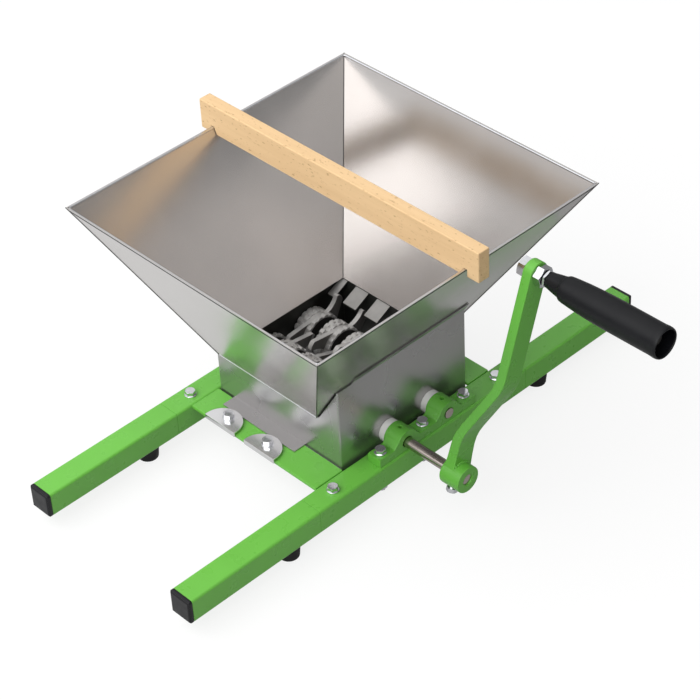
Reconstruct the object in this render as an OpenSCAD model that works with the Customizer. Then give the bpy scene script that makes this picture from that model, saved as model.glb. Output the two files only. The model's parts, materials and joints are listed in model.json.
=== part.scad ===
// Hand cranked fruit crusher: sheet steel hopper and box on a square tube frame,
// two geared toothed rollers, a cranked handle and a wooden bar across the rim.
// X runs across the rails towards the crank, Y along the rails, Z up.
// The modules draw in a frame whose zero is the middle of the deck, the rails' top face.

/* [Frame] */
// Outside width of the square tube
tube_w = 22; // [20:0.5:26]
// Wall of the square tube
tube_wall = 1.5; // [1.2:0.1:2]
// Outside corner radius of the tube
tube_r = 2.2; // [1.8:0.1:2.6]
// Distance between the centre lines of the two rails
rail_spacing = 167; // [160:1:190]
// Overall length of the frame along the rails
frame_len = 500; // [440:5:600]
// Length of rail between the front cross plate and the leg joint
rail_overhang = 16; // [14:1:40]
// Length of the front cross plate along the rails
cross_len = 29; // [26:1:34]
// Length of the rear cross plate along the rails
cross_rear_len = 24; // [20:1:34]
// Thickness of the cross plates
cross_t = 3; // [2.5:0.1:4]
// Gap between the box and the cross plates
cross_gap = 1; // [0.4:0.1:2]

/* [Legs] */
// Length of the spigot that plugs into the rail
spigot_len = 40; // [34:1:46]
// Clearance of the spigot in the rail, each side
spigot_gap = 0.1; // [0.05:0.01:0.2]
// Length of the thick stretch of the leg beside the joint
spigot_root = 20; // [14:1:26]
// Distance from the leg joint to its bolt
leg_bolt_inset = 24; // [20:1:28]
// Thickness of the end cap outside the tube
cap_t = 4; // [3:0.5:6]
// Length of the end cap inside the tube
cap_plug = 12; // [8:1:20]
// Bevel round the end cap
cap_bevel = 1.6; // [1:0.1:2.5]
// Distance from the leg joint to the centre of its foot
foot_from_joint = 25; // [16:1:60]
// Height of a rubber foot
foot_h = 12; // [10:0.5:20]
// Radius of a foot at the tube
foot_top_r = 9.6; // [8.5:0.1:10]
// Radius of a foot at the ground
foot_low_r = 8.4; // [7.5:0.1:9.5]
// Depth of the screw recess in a foot
foot_recess = 5; // [4:0.5:7]

/* [Housing] */
// Length of the box along the rails
housing_len = 140; // [134:1:156]
// Gap between the box and each rail
side_gap = 2; // [1:0.1:3]
// Thickness of the box and hopper sheets
sheet = 1.2; // [1:0.1:1.5]
// How far the box reaches below the deck
housing_drop = 31; // [29:0.5:32]
// Room kept for the gears between the partition and the box wall
gear_room = 22.8; // [21:0.2:26]
// Length of the flange that lies against the right hopper wall
side_flange = 9; // [5:0.5:14]
// How far that flange stops short of the front of the box
side_flange_inset = 15; // [5:1:30]
// How far the lip on the front and rear plates reaches out
lip_reach = 12.8; // [12:0.1:13.4]
// Left end of the lip, from the middle of the box
lip_left = 54; // [48:1:60]
// Right end of the lip, from the middle of the box
lip_right = 30; // [28:1:40]

/* [Hopper] */
// Outside width of the rim, across the rails
rim_x = 278; // [250:1:320]
// Outside length of the rim, along the rails
rim_y = 296; // [260:1:340]
// Height of the rim above the deck
rim_z = 190; // [170:1:220]
// Height of the hopper's lower edge above the deck
throat_z = 39; // [38:0.5:46]
// Gap between the hopper's left wall and the box at its lower edge
throat_inset = 3.5; // [2:0.1:6]
// Inset of the hopper's rear wall from the inside of the box
throat_rear_inset = 1.3; // [0.6:0.1:2]
// Clearance where the hopper slips over the box
slip_gap = 0.15; // [0.1:0.05:0.4]

/* [Bearings] */
// Height of the shaft axes above the deck
shaft_z = 8; // [7:0.1:9]
// How far the shafts' middle lies off the middle of the box
shaft_shift = 4.4; // [0:0.1:6]
// Radius of a bearing boss
boss_r = 11; // [10:0.1:13]
// Width of a bearing boss along its shaft
boss_w = 16; // [14:0.5:17]
// Distance of the boss's outer face from the rail's outer face
boss_setback = 1.5; // [0:0.1:2]
// Width of the bearing block's base
block_w = 14; // [13:0.5:16]
// Thickness of the bearing block's base
block_t = 8; // [4:0.5:9]
// How far the base reaches past its end bolts
block_end = 7.2; // [6.8:0.1:12]
// Width of the fillet beside each boss
boss_flare = 3.6; // [2:0.1:3.8]
// Radius of the oil hole in a boss
oil_r = 1.6; // [1:0.1:2]
// Outside radius of a nylon bush
bush_r = 10; // [9:0.5:11]
// Radius of the bush's shoulder in the box wall
bush_neck_r = 8; // [7:0.1:8.6]
// Length of the shoulder inside the box
bush_in = 0.4; // [0.2:0.1:1]
// Clearance of the shoulder in the box wall
wall_hole_gap = 0.3; // [0.1:0.1:0.6]

/* [Shafts] */
// Radius of both shafts
shaft_r = 4.5; // [4:0.1:5]
// Running and sliding clearance on a shaft
fit_gap = 0.04; // [0.02:0.01:0.08]
// Width and height of a key
key_w = 3; // [2.5:0.1:3.4]
// How far the driven shaft stands out of its boss
shaft_proud = 0.4; // [0:0.1:2]

/* [Gears] */
// Teeth of each gear
gear_teeth = 18; // [18:2:22]
// Distance of the two shafts, as a share of the box's length
shaft_spacing_share = 0.3343; // [0.32:0.001:0.34]
// Width of each gear
gear_w = 12; // [8:0.5:13]
// Gap between the partition and the gears
gear_side_gap = 2.3; // [1:0.1:3]
// Thinning of each tooth for backlash
backlash = 0.2; // [0.1:0.05:0.4]

/* [Rollers] */
// Thickness of a toothed disc and of a hooked knife
plate_t = 4.2; // [3.8:0.1:4.4]
// Discs of a pack on the knife's wider side
wide_disc_count = 2; // [1:1:2]
// Discs of a pack on the knife's other side
narrow_disc_count = 1; // [1:1:1]
// Side clearance of a knife beside the other roller's pack
knife_gap = 0.5; // [0.3:0.1:0.8]
// Room on the other side of that knife
knife_room = 3.5; // [3:0.1:3.7]
// Gap between the toothed discs of the two rollers
disc_gap = 8.8; // [7:0.1:12]
// Depth of the fine teeth
tooth_depth = 1.6; // [1.2:0.1:2]
// Number of fine teeth
disc_teeth = 18; // [14:1:22]
// Turn of each disc against its neighbour, in degrees
disc_turn = 9; // [4:1:16]
// Step from a disc's edge down to a knife's hub
knife_hub_step = 1.4; // [1:0.1:2.5]
// Clearance of a knife's tip over the other roller's rings
knife_tip_gap = 2.4; // [1.5:0.1:5]
// Hooks on each knife
knife_hooks = 3; // [2:1:4]
// Direction in which the first rear knife's hook starts, in degrees
knife_start = 118; // [0:1:359]
// Turn of each knife against the one before, in degrees
knife_turn = 12; // [0:1:30]
// Radius of a spacer ring
spacer_r = 8.6; // [8:0.1:9.2]

/* [Combs] */
// Thickness of the comb plates
comb_t = 2; // [1.5:0.1:2.5]
// Height of the comb's fixed strip on the wall
comb_h = 26; // [18:1:30]
// Width of a comb finger
finger_w = 14.8; // [12:0.2:15]
// Gap between a finger and the knife on its right
finger_gap = 0.5; // [0.4:0.1:1]
// Reach of the fingers into the box
finger_reach = 17.9; // [10:0.1:19]
// Drop of the fingers over their reach
finger_drop = 9; // [6:0.5:12]

/* [Clamps] */
// Radius of a half-moon clamp
clamp_r = 17.5; // [15:0.5:19]
// Thickness of a clamp
clamp_t = 1.6; // [1.2:0.1:2.5]
// Distance of the left clamp from the middle of the frame
clamp_left_x = 37; // [34:0.5:42]
// Distance of the right clamp from the middle of the frame
clamp_right_x = 9; // [6:0.5:12]

/* [Crank] */
// Distance from the shaft to the handle bolt
crank_len = 185; // [150:1:210]
// Lean of the crank towards the rear at rest, degrees
crank_lean = 18.4; // [0:0.5:40]
// Distance of the hub's outer face from the middle of the frame
hub_face_x = 158; // [150:1:180]
// Length of the hub
hub_w = 20; // [18:1:24]
// Radius of the hub
hub_r = 11.6; // [10:0.1:14]
// Distance from the hub's outer face to the middle of the arm
arm_inset = 13; // [12:0.5:14]
// Depth of the shaft's end below the hub's face
hub_recess = 1.5; // [0.5:0.5:3]
// Thickness of the crank arm
arm_t = 8.5; // [6:0.5:10]
// Width of the crank arm
arm_w = 19; // [16:0.5:22]
// Sideways step of the arm
arm_step = 27; // [12:1:34]
// Distance from the shaft to the start of the step
step_from = 26; // [22:1:34]
// Distance from the shaft to the end of the step
step_to = 98; // [84:1:110]

/* [Handle] */
// Radius of the handle bolt
bolt_r = 4; // [3.5:0.1:4.2]
// Length of bare bolt between the arm's nut and the collar
thread_gap = 0.8; // [0.4:0.1:5]
// Length of the grip
grip_len = 108; // [90:1:130]
// Largest radius of the grip
grip_r = 12.8; // [11:0.1:15]
// Radius of the grip's neck
neck_r = 6.4; // [5.8:0.1:7]
// Radius of the recess in the grip's end
recess_r = 10.8; // [9:0.1:10.9]
// Depth of the recess in the grip's end
recess_depth = 12; // [9:0.5:16]

/* [Wooden bar] */
// How far each end of the bar reaches past the rim
bar_overhang = 13; // [9:0.5:30]
// Thickness of the bar
bar_w = 11.5; // [10:0.5:20]
// Height of the bar
bar_h = 27; // [22:0.5:40]
// How deep the rim sits in the bar's notches
bar_notch = 6.5; // [4:0.5:8]
// Clearance of the rim in the notches
notch_gap = 0.8; // [0.5:0.1:1.5]
// Distance of the bar's middle behind the middle of the hopper
bar_y = 7; // [0:0.5:20]

/* [Fasteners] */
// Radius of the frame bolts
screw_r = 2.5; // [2.5:0.1:3]
// Clearance round the frame bolts
screw_gap = 0.25; // [0.15:0.05:0.4]
// Height of the bolt heads
head_h = 3.5; // [3:0.1:4.5]
// Width across the flats of heads and nuts
head_af = 8; // [7.6:0.1:8.4]
// Thickness of the nuts
nut_t = 4; // [4:0.5:5]
// Radius of the washers
washer_r = 5; // [4.9:0.1:5.5]
// Thickness of the washers
washer_t = 1; // [0.8:0.1:1.4]
// Width across the flats of the handle nuts
handle_nut_af = 15; // [12:0.5:16]
// Thickness of the handle nuts
handle_nut_t = 7.2; // [5:0.1:9]

/* [Hidden] */
$fn = 48;

// One overrun for every cut
over = 1;
// Degrees
full_turn = 360;
half_turn = full_turn / 2;

// Frame
rail_x = rail_spacing / 2;
box_y = housing_len / 2;
cross_in_y = box_y + cross_gap;
cross_out_y = cross_in_y + cross_len;
rail_half = cross_out_y + rail_overhang;
tube_in = tube_w - 2 * tube_wall;
spigot_w = tube_in - 2 * spigot_gap;
leg_end_y = frame_len / 2 - cap_t;
leg_bolt_y = rail_half - leg_bolt_inset;
foot_y = rail_half + foot_from_joint;
ground_z = -tube_w - foot_h;
cross_half = rail_x - tube_w / 2;

// Box
box_x = rail_x - tube_w / 2 - side_gap;
wall_in_x = box_x - sheet;
wall_in_y = box_y - sheet;
partition_x = wall_in_x - gear_room;

// Hopper: half sizes of its outside at the rim and at its lower edge
throat_left = box_x - throat_inset;
throat_right = partition_x;
throat_y = box_y + slip_gap + sheet;
throat_rear = wall_in_y - throat_rear_inset;
left_slope = (rim_x / 2 - throat_left) / (rim_z - throat_z);
right_slope = (rim_x / 2 - throat_right) / (rim_z - throat_z);
front_slope = (rim_y / 2 - throat_y) / (rim_z - throat_z);
rear_slope = (rim_y / 2 - throat_rear) / (rim_z - throat_z);

// Shafts
shaft_spacing = housing_len * shaft_spacing_share;
gear_module = shaft_spacing / gear_teeth;
disc_r = (shaft_spacing - disc_gap) / 2;
knife_hub_r = disc_r - knife_hub_step;
knife_r = shaft_spacing - spacer_r - knife_tip_gap;
drive_y = shaft_shift - shaft_spacing / 2;
driven_y = shaft_shift + shaft_spacing / 2;
boss_out_x = rail_x + tube_w / 2 - boss_setback;
boss_in_x = boss_out_x - boss_w;
block_bolt_x = boss_out_x - block_w / 2;
bore_chamfer = 0.8;
key_low = shaft_r - key_w / 2;

// Roller stacks, from the left bush to the partition
end_play = 0.1;
stack_x = -(wall_in_x - bush_in) + end_play;
pack_plates = wide_disc_count + 1 + narrow_disc_count;
pack_w = pack_plates * plate_t;
ring_w = plate_t + knife_gap + knife_room;
pitch = pack_w + ring_w;
partition_margin = 1.2;
stack_room = partition_x - partition_margin - stack_x;
driven_packs = floor(stack_room / pitch);
last_plates = min(wide_disc_count + 1, floor((stack_room - driven_packs * pitch) / plate_t));
driven_stack_end = stack_x + driven_packs * pitch + last_plates * plate_t;
drive_offset = (wide_disc_count + 1) * plate_t + knife_gap;
drive_x = stack_x + drive_offset;
drive_packs = floor((stack_room - drive_offset + ring_w) / pitch);
drive_stack_end = drive_x + drive_packs * pitch - ring_w;
gear_x = partition_x + sheet + gear_side_gap;
gear_end = gear_x + gear_w;
stack_stop = wall_in_x - bush_in - end_play;

// Crank and handle
collar_af = 12.6;
collar_t = 2.2;
grip_play = 0.3;
arm_low_x = hub_face_x - arm_inset;
arm_high_x = arm_low_x + arm_step;
collar_x = arm_high_x + arm_t / 2 + handle_nut_t + thread_gap;
grip_x = collar_x + collar_t + grip_play;
grip_end_x = grip_x + grip_len;

// Wooden bar
bar_len = rim_x + 2 * bar_overhang;

// Placing: the origin is the middle of the ground under the whole object
reach_left = bar_len / 2;
mid_x = (grip_end_x - reach_left) / 2;

module placed() translate([-mid_x, 0, -ground_z]) children();

// Outline helpers
module rounded_square(w, r) {
    square([w - 2 * r, w], center = true);
    square([w, w - 2 * r], center = true);
    for (x = [-1, 1], y = [-1, 1])
        translate([x * (w / 2 - r), y * (w / 2 - r)]) circle(r = r);
}

// Extrudes an outline drawn in Y and Z along X
module along_x(x0, x1) translate([x0, 0, 0]) rotate([90, 0, 90]) linear_extrude(height = x1 - x0) children();

// Extrudes an outline drawn in X and Z along Y
module along_y(y0, y1) translate([0, y1, 0]) rotate([90, 0, 0]) linear_extrude(height = y1 - y0) children();

module rod(r, x0, x1) translate([x0, 0, 0]) rotate([0, 90, 0]) cylinder(r = r, h = x1 - x0);

// A hexagon's corner stands out of its flat by this angle
hex_angle = 30;

// The second roller is the mirror image of the first
module hexagon(af) circle(d = af / cos(hex_angle), $fn = 6);

// Rails and cross plates
module tube_outline(w, wall) difference() {
    rounded_square(w, tube_r);
    rounded_square(w - 2 * wall, tube_r - wall);
}

module upright_hole(x, y, r, z0, z1) translate([x, y, z0]) cylinder(r = r, h = z1 - z0);

module rail(side) placed() color([0.33, 0.66, 0.24]) difference() {
    translate([side * rail_x, 0, -tube_w / 2]) along_y(-rail_half, rail_half) tube_outline(tube_w, tube_wall);
    for (y = [-leg_bolt_y, leg_bolt_y])
        upright_hole(side * rail_x, y, screw_r + screw_gap, -tube_w - over, over);
    for (i = [-1, 0, 1])
        upright_hole(side * block_bolt_x, shaft_shift + i * shaft_spacing, screw_r + screw_gap,
            -tube_w - over, over);
}

module rail_left() rail(-1);

module rail_right() rail(1);

module cross_plate_front() placed() color([0.4, 0.74, 0.27]) difference() {
    translate([-cross_half, -cross_out_y, -cross_t]) cube([2 * cross_half, cross_len, cross_t]);
    for (x = clamp_xs)
        upright_hole(x, clamp_screw_y, screw_r + screw_gap, -cross_t - over, over);
}

module cross_plate_rear() placed() color([0.3, 0.6, 0.23])
    translate([-cross_half, cross_in_y, -cross_t]) cube([2 * cross_half, cross_rear_len, cross_t]);

// Legs: a tube with a narrower spigot that plugs into the rail
module leg(x, turn) placed() color([0.36, 0.68, 0.26]) difference() {
    translate([x, 0, -tube_w / 2]) rotate([0, 0, turn]) difference() {
        union() {
            along_y(rail_half, leg_end_y) rounded_square(tube_w, tube_r);
            along_y(rail_half - spigot_len, rail_half + over) rounded_square(spigot_w, tube_r - tube_wall);
        }
        along_y(rail_half + spigot_root, leg_end_y + over) rounded_square(tube_in, tube_r - tube_wall);
        along_y(rail_half - spigot_len - over, leg_end_y)
            square(spigot_w - 2 * tube_wall, center = true);
    }
    for (y = [-leg_bolt_y, leg_bolt_y])
        upright_hole(x, y, screw_r + screw_gap, -tube_w - over, over);
    for (y = [-foot_y, foot_y])
        upright_hole(x, y, foot_screw_r + screw_gap, -tube_w - over, -tube_w / 2);
}

module leg_front_left() leg(-rail_x, half_turn);

module leg_front_right() leg(rail_x, half_turn);

module leg_rear_left() leg(-rail_x, 0);

module leg_rear_right() leg(rail_x, 0);

// Black plugs with a bevelled outer face
cap_outline = [[-tube_w / 2, 0], [tube_w / 2, 0], [tube_w / 2, cap_t - cap_bevel],
    [tube_w / 2 - cap_bevel, cap_t], [-tube_w / 2 + cap_bevel, cap_t], [-tube_w / 2, cap_t - cap_bevel]];
cap_gap = 0.05;

module end_cap() {
    intersection() {
        along_y(0, cap_t) rounded_square(tube_w, tube_r);
        translate([0, 0, -tube_w / 2]) linear_extrude(height = tube_w) polygon(cap_outline);
        translate([-tube_w / 2, 0, 0]) rotate([0, 90, 0]) linear_extrude(height = tube_w)
            polygon(cap_outline);
    }
    along_y(-cap_plug, 0) square(tube_in - 2 * (tube_r - tube_wall) - cap_gap, center = true);
}

module leg_end_caps() placed() color([0.06, 0.06, 0.07])
    for (x = [-rail_x, rail_x], turn = [0, half_turn])
        translate([x, 0, -tube_w / 2]) rotate([0, 0, turn]) translate([0, leg_end_y, 0]) end_cap();

// Rubber feet, each held by a screw from below
foot_screw_r = 2.4;
foot_head_r = 4.2;
foot_head_h = 3;
foot_wall = foot_h - foot_recess;

module at_feet() for (x = [-rail_x, rail_x], y = [-foot_y, foot_y]) translate([x, y, -tube_w]) children();

module rubber_feet() placed() color([0.05, 0.05, 0.06]) at_feet() difference() {
    translate([0, 0, -foot_h]) cylinder(r1 = foot_low_r, r2 = foot_top_r, h = foot_h);
    translate([0, 0, -foot_h - over]) cylinder(r = foot_head_r + screw_gap, h = foot_recess + over);
    translate([0, 0, -foot_h]) cylinder(r = foot_screw_r + screw_gap, h = foot_h + over);
}

module foot_screws() placed() color([0.75, 0.75, 0.77]) at_feet() {
    translate([0, 0, -foot_wall - foot_head_h]) cylinder(r = foot_head_r, h = foot_head_h);
    translate([0, 0, -foot_wall - foot_head_h / 2]) cylinder(r = foot_screw_r, h = foot_wall + tube_w / 2);
}

// Hex bolts with a washer, standing on the surface at z 0, and their nuts below
short_tail = 2;
long_tail = 5;

module bolt(grip_length, tail) {
    cylinder(r = washer_r, h = washer_t);
    translate([0, 0, washer_t]) linear_extrude(height = head_h) hexagon(head_af);
    translate([0, 0, -grip_length - nut_t - tail])
        cylinder(r = screw_r, h = grip_length + nut_t + tail + washer_t);
}

module nut(grip_length) translate([0, 0, -grip_length - nut_t]) linear_extrude(height = nut_t)
    difference() {
        hexagon(head_af);
        circle(r = screw_r + fit_gap);
    }

module at_leg_bolts() for (x = [-rail_x, rail_x], y = [-leg_bolt_y, leg_bolt_y]) translate([x, y, 0]) children();

module leg_bolts() placed() color([0.8, 0.8, 0.82]) at_leg_bolts() bolt(tube_w, short_tail);

module leg_nuts() placed() color([0.76, 0.76, 0.78]) at_leg_bolts() nut(tube_w);

// Bearing blocks: a base on the rail with two bosses
block_half = shaft_spacing + block_end;
flare_outline = [[-boss_r - boss_flare, block_t - over], [-boss_r - boss_flare, block_t],
    [-boss_r + boss_flare, block_t + 2 * boss_flare], [0, block_t + 2 * boss_flare], [0, block_t - over]];

module chamfered_bore(r, x0, x1) {
    rod(r, x0 - over, x1 + over);
    translate([x1 - bore_chamfer - over, 0, 0]) rotate([0, 90, 0])
        cylinder(r1 = r - over, r2 = r + bore_chamfer + over, h = bore_chamfer + 2 * over);
}

module bearing_block() difference() {
    union() {
        along_x(boss_out_x - block_w, boss_out_x)
            translate([shaft_shift - block_half, 0]) square([2 * block_half, block_t]);
        along_x(boss_in_x, boss_out_x) intersection() {
            for (y = [drive_y, driven_y]) translate([y, shaft_z]) circle(r = boss_r);
            translate([shaft_shift - block_half, 0]) square([2 * block_half, shaft_z + boss_r + over]);
        }
        along_x(boss_out_x - block_w, boss_out_x) for (y = [drive_y, driven_y], side = [0, 1])
            translate([y, 0]) mirror([side, 0]) polygon(flare_outline);
    }
    for (y = [drive_y, driven_y]) {
        translate([0, y, shaft_z]) chamfered_bore(shaft_r + fit_gap, boss_in_x, boss_out_x);
        upright_hole((boss_in_x + boss_out_x) / 2, y, oil_r, shaft_z, shaft_z + boss_r + over);
    }
    for (i = [-1, 0, 1])
        upright_hole(block_bolt_x, shaft_shift + i * shaft_spacing, screw_r + screw_gap, -over, block_t + over);
}

module bearing_block_right() placed() color([0.3, 0.62, 0.2]) bearing_block();

module bearing_block_left() placed() color([0.3, 0.62, 0.2]) mirror([1, 0, 0]) bearing_block();

module at_bearing_bolts() for (x = [-block_bolt_x, block_bolt_x], i = [-1, 0, 1])
    translate([x, shaft_shift + i * shaft_spacing, block_t]) children();

module bearing_bolts() placed() color([0.8, 0.8, 0.82]) at_bearing_bolts() bolt(block_t + tube_w, long_tail);

module bearing_nuts() placed() color([0.76, 0.76, 0.78]) at_bearing_bolts() nut(block_t + tube_w);

// Nylon bushes between the box walls and the bosses, flat where they stand on the rail
module nylon_bush() difference() {
    union() {
        rod(bush_r, box_x + end_play, boss_in_x);
        rod(bush_neck_r, wall_in_x - bush_in, box_x + over);
    }
    translate([box_x, -bush_r, -shaft_z - bush_r]) cube([boss_w, 2 * bush_r, bush_r]);
    rod(shaft_r + fit_gap, wall_in_x - bush_in - over, boss_in_x + over);
}

module nylon_bushes() placed() color([0.93, 0.93, 0.93])
    for (side = [0, 1], y = [drive_y, driven_y])
        mirror([side, 0, 0]) translate([0, y, shaft_z]) nylon_bush();

// Box plates
module shaft_holes(r, x0, x1) for (y = [drive_y, driven_y]) translate([0, y, shaft_z]) rod(r, x0, x1);

left_top = throat_z + (wall_in_x - throat_left) / left_slope - slip_gap;

module housing_left() placed() color([0.62, 0.61, 0.61]) difference() {
    translate([-box_x, -box_y, -housing_drop]) cube([sheet, 2 * box_y, housing_drop + left_top]);
    shaft_holes(bush_neck_r + wall_hole_gap, -box_x - over, -wall_in_x + over);
}

// The right plate bends outwards at its top and lies against the hopper wall
function right_wall_x(z) = throat_right + right_slope * (z - throat_z);

function right_wall_z(x) = throat_z + (x - throat_right) / right_slope;

flange_z = right_wall_z(wall_in_x - slip_gap);
flange_top = flange_z + side_flange;
right_outline = [[wall_in_x, -housing_drop], [box_x, -housing_drop],
    [box_x, right_wall_z(box_x - slip_gap - sheet)],
    [right_wall_x(flange_top) + slip_gap + sheet, flange_top],
    [right_wall_x(flange_top) + slip_gap, flange_top], [wall_in_x, flange_z]];
plain_outline = [[wall_in_x, -housing_drop], [box_x, -housing_drop],
    [box_x, flange_z - slip_gap], [wall_in_x, flange_z - slip_gap]];

module housing_right() placed() color([0.6, 0.59, 0.6]) difference() {
    union() {
        along_y(-box_y + side_flange_inset, box_y) polygon(right_outline);
        along_y(-box_y, box_y) polygon(plain_outline);
    }
    shaft_holes(bush_neck_r + wall_hole_gap, wall_in_x - over, box_x + over);
}

// End plates: the front one reaches up inside the hopper's skirt and the rear one round it, both
// with an outward lip that lies on the cross plate
end_top = 1.2;
end_low = throat_z - slip_gap;
front_top = throat_z + end_top;
rear_top = throat_z + throat_rear_inset / rear_slope - slip_gap;
end_right = throat_right - sheet - slip_gap;
end_left = -throat_left + sheet;

function end_outline(top) = [[-wall_in_x, -housing_drop], [wall_in_x, -housing_drop],
    [wall_in_x, right_wall_z(wall_in_x - sheet)], [partition_x + sheet, end_low],
    [end_right, end_low], [end_right, top], [end_left, top], [end_left, end_low],
    [-wall_in_x, end_low]];

module end_plate(top) {
    along_y(-box_y, -wall_in_y) polygon(end_outline(top));
    translate([-lip_left, -box_y - lip_reach, 0]) cube([lip_left + lip_right, lip_reach + sheet, sheet]);
}

module housing_front() placed() color([0.58, 0.57, 0.56]) end_plate(front_top);

module housing_rear() placed() color([0.58, 0.57, 0.56]) mirror([0, 1, 0]) end_plate(rear_top);

partition_hole_gap = 0.8;

module gear_partition() placed() color([0.5, 0.5, 0.5]) difference() {
    translate([partition_x, -wall_in_y, -housing_drop])
        cube([sheet, 2 * wall_in_y, housing_drop + throat_z - slip_gap]);
    shaft_holes(spacer_r + partition_hole_gap, partition_x - over, partition_x + sheet + over);
}

// Hopper walls: each is the slab between the outer and inner funnel, mitred at the corners
function ring_at(left, right, front, rear, z, inset) = [[inset - left, inset - front, z],
    [right - inset, inset - front, z], [right - inset, rear - inset, z], [inset - left, rear - inset, z]];

rim_outer = ring_at(rim_x / 2, rim_x / 2, rim_y / 2, rim_y / 2, rim_z, 0);
rim_inner = ring_at(rim_x / 2, rim_x / 2, rim_y / 2, rim_y / 2, rim_z, sheet);
low_outer = ring_at(throat_left, throat_right, throat_y, throat_rear, throat_z, 0);
low_inner = ring_at(throat_left, throat_right, throat_y, throat_rear, throat_z, sheet);
slab_faces = [[0, 1, 2], [0, 2, 3], [4, 6, 5], [4, 7, 6], [0, 4, 5], [0, 5, 1],
    [1, 5, 6], [1, 6, 2], [2, 6, 7], [2, 7, 3], [3, 7, 4], [3, 4, 0]];

module hopper_wall(a, b) polyhedron(points = [low_outer[a], low_outer[b], rim_outer[b], rim_outer[a],
    low_inner[a], low_inner[b], rim_inner[b], rim_inner[a]], faces = slab_faces);

module hopper_front() placed() color([0.66, 0.64, 0.64]) hopper_wall(0, 1);

module hopper_right() placed() color([0.55, 0.56, 0.56]) hopper_wall(1, 2);

module hopper_rear() placed() color([0.86, 0.84, 0.84]) hopper_wall(2, 3);

module hopper_left() placed() color([0.7, 0.68, 0.66]) hopper_wall(3, 0);

// Combs: a strip on the end wall with fingers that slope down between the knives
comb_top = throat_z - slip_gap;
comb_wall_gap = 0.1;
comb_outer = wall_in_y - comb_wall_gap;
comb_edge_gap = 0.4;
comb_left = -wall_in_x + comb_edge_gap;
comb_right = partition_x - comb_edge_gap;
finger_outline = [[-comb_outer, comb_top], [-comb_outer, comb_top - comb_t],
    [-comb_outer + finger_reach, comb_top - finger_drop - comb_t],
    [-comb_outer + finger_reach, comb_top - finger_drop]];

module comb(first_x) {
    translate([comb_left, -comb_outer, comb_top - comb_h])
        cube([comb_right - comb_left, comb_t, comb_h]);
    for (k = [-1:driven_packs + 1]) {
        x0 = max(comb_left, first_x + k * pitch);
        x1 = min(comb_right, first_x + k * pitch + finger_w);
        if (x1 - x0 > comb_t) along_x(x0, x1) polygon(finger_outline);
    }
}

// Each finger ends close beside a knife
drive_finger_x = drive_x + narrow_disc_count * plate_t - finger_gap - finger_w;
driven_finger_x = stack_x + wide_disc_count * plate_t - finger_gap - finger_w;

module comb_front() placed() color([0.72, 0.72, 0.71]) comb(drive_finger_x);

module comb_rear() placed() color([0.74, 0.74, 0.73]) mirror([0, 1, 0]) comb(driven_finger_x);

// Half-moon clamps: the toe presses on the lip, the heel hooks over the cross plate
clamp_xs = [-clamp_left_x, clamp_right_x];
heel_gap = 0.2;
heel_drop = 1.8;
clamp_straight = 2.4;
clamp_edge_y = -cross_out_y - heel_gap - clamp_t;
clamp_screw_share = 0.52;
clamp_screw_y = clamp_edge_y + clamp_screw_share * (clamp_r + clamp_straight);

module half_moon() {
    translate([-clamp_r, 0]) square([2 * clamp_r, clamp_straight]);
    translate([0, clamp_straight]) intersection() {
        circle(r = clamp_r);
        translate([-clamp_r, 0]) square([2 * clamp_r, clamp_r]);
    }
}

module lip_clamps() placed() color([0.72, 0.72, 0.74]) for (x = clamp_xs) difference() {
    translate([x, clamp_edge_y, 0]) {
        translate([0, 0, sheet]) linear_extrude(height = clamp_t) half_moon();
        translate([-clamp_r, 0, -heel_drop]) cube([2 * clamp_r, clamp_t, heel_drop + sheet + clamp_t]);
    }
    upright_hole(x, clamp_screw_y, screw_r + screw_gap, -over, sheet + clamp_t + over);
}

module at_clamp_screws() for (x = clamp_xs) translate([x, clamp_screw_y, sheet + clamp_t]) children();

module clamp_screws() placed() color([0.84, 0.84, 0.86]) at_clamp_screws() bolt(sheet + clamp_t + cross_t, short_tail);

module clamp_nuts() placed() color([0.76, 0.76, 0.78]) at_clamp_screws() nut(sheet + clamp_t + cross_t);

// Shafts with one long keyway under the rollers and the gear
module shaft(x_end) difference() {
    rod(shaft_r, -boss_out_x, x_end);
    translate([stack_x, -key_w / 2 - fit_gap, key_low - fit_gap])
        cube([gear_end - stack_x, key_w + 2 * fit_gap, shaft_r]);
}

module key() translate([stack_x + end_play, -key_w / 2, key_low])
    cube([gear_end - stack_x - 2 * end_play, key_w, key_w]);

module keyed_bore() {
    circle(r = shaft_r + fit_gap);
    translate([-key_w / 2 - fit_gap, 0]) square([key_w + 2 * fit_gap, key_low + key_w + fit_gap]);
}

module on_drive() translate([0, drive_y, shaft_z]) children();

module on_driven() translate([0, driven_y, shaft_z]) children();

module drive_shaft() placed() color([0.74, 0.72, 0.7]) on_drive() shaft(hub_face_x - hub_recess);

module driven_shaft() placed() color([0.7, 0.69, 0.68]) on_driven() shaft(boss_out_x + shaft_proud);

module drive_key() placed() color([0.55, 0.55, 0.57]) on_drive() key();

module driven_key() placed() color([0.55, 0.55, 0.57]) on_driven() key();

// Toothed discs with flat-topped ratchet teeth
tooth_step = full_turn / disc_teeth;
land_share = 0.5;
root_share_of_step = 0.94;

function polar(r, a) = [r * cos(a), r * sin(a)];

function disc_points(turn) = [for (i = [0:disc_teeth - 1]) let (a = i * tooth_step + turn)
    each [polar(disc_r, a), polar(disc_r, a + tooth_step * land_share),
    polar(disc_r - tooth_depth, a + tooth_step * root_share_of_step)]];

module toothed_disc(x0, turn) along_x(x0, x0 + plate_t) difference() {
    polygon(disc_points(turn));
    keyed_bore();
}

// Rear packs run disc, disc, knife, disc, and the last one stops at its knife
module driven_discs() placed() color([0.64, 0.63, 0.61]) on_driven()
    for (k = [0:driven_packs]) for (j = [0:pack_plates - 1])
        if (j != wide_disc_count && (k < driven_packs || j < last_plates))
            toothed_disc(stack_x + k * pitch + j * plate_t, (k * pack_plates + j) * disc_turn);

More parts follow.
